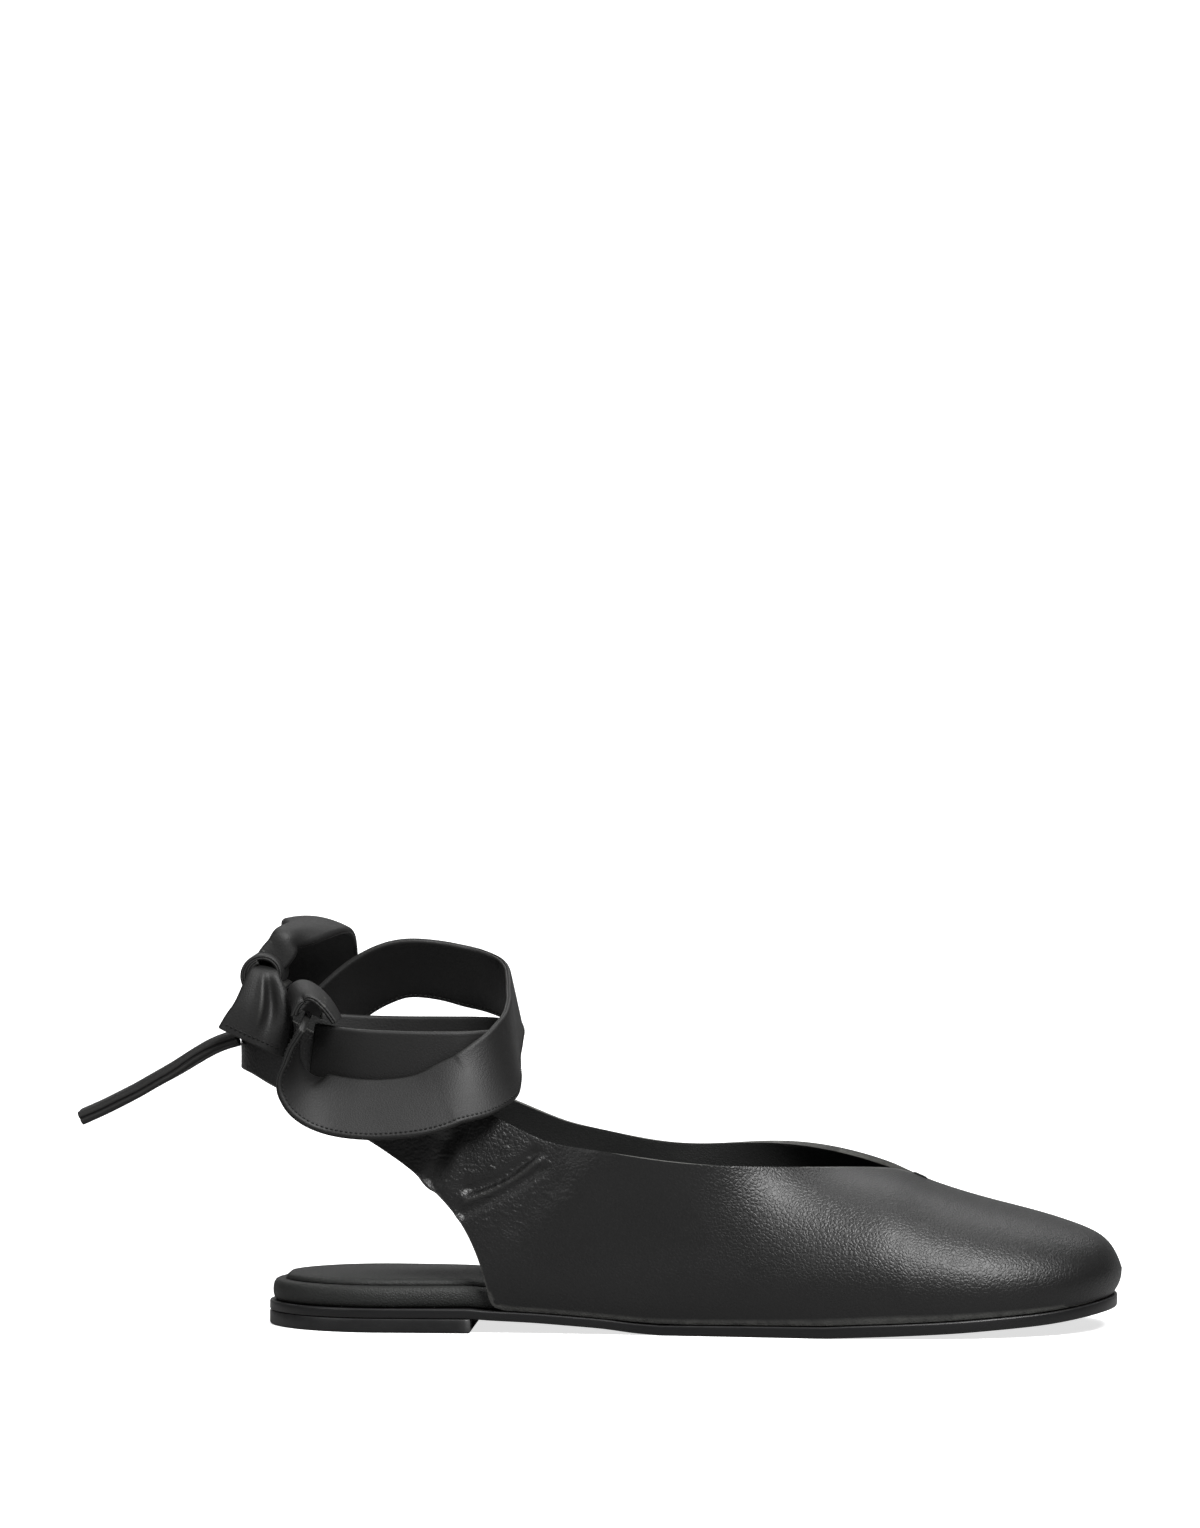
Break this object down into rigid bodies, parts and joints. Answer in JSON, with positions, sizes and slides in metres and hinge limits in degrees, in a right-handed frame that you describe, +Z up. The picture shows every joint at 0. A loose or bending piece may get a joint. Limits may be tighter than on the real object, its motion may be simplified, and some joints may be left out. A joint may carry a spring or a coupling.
{
  "type": "open-back ballet flat with ankle ties",
  "caption": "Women's leather ballet flat for the right foot, open at the heel, with ties wound round the ankle and knotted behind it.",
  "frame": {"origin": "middle of the heel block's floor face", "axes": "+X to the toe, +Y to the inner side of the foot, +Z up"},
  "size_m": [0.3057, 0.0879, 0.1205],
  "materials": {
    "sole": "smooth black sole and heel block, satin edge",
    "footbed": "black leather over padding, dull",
    "upper": "black nappa with fine grain, soft sheen",
    "tie": "smooth soft black leather, folded edges"
  },
  "bodies": {
    "root": {"outsole": "sole", "heel": "sole", "footbed": "footbed", "sock_pad": "footbed", "upper": "upper", "ankle_wrap_low": "tie", "ankle_wrap_high": "tie", "tie_fold": "tie", "bow_knot": "tie", "bow_loop": "tie", "bow_end": "tie", "tie_tail": "tie"}
  },
  "joints": []
}
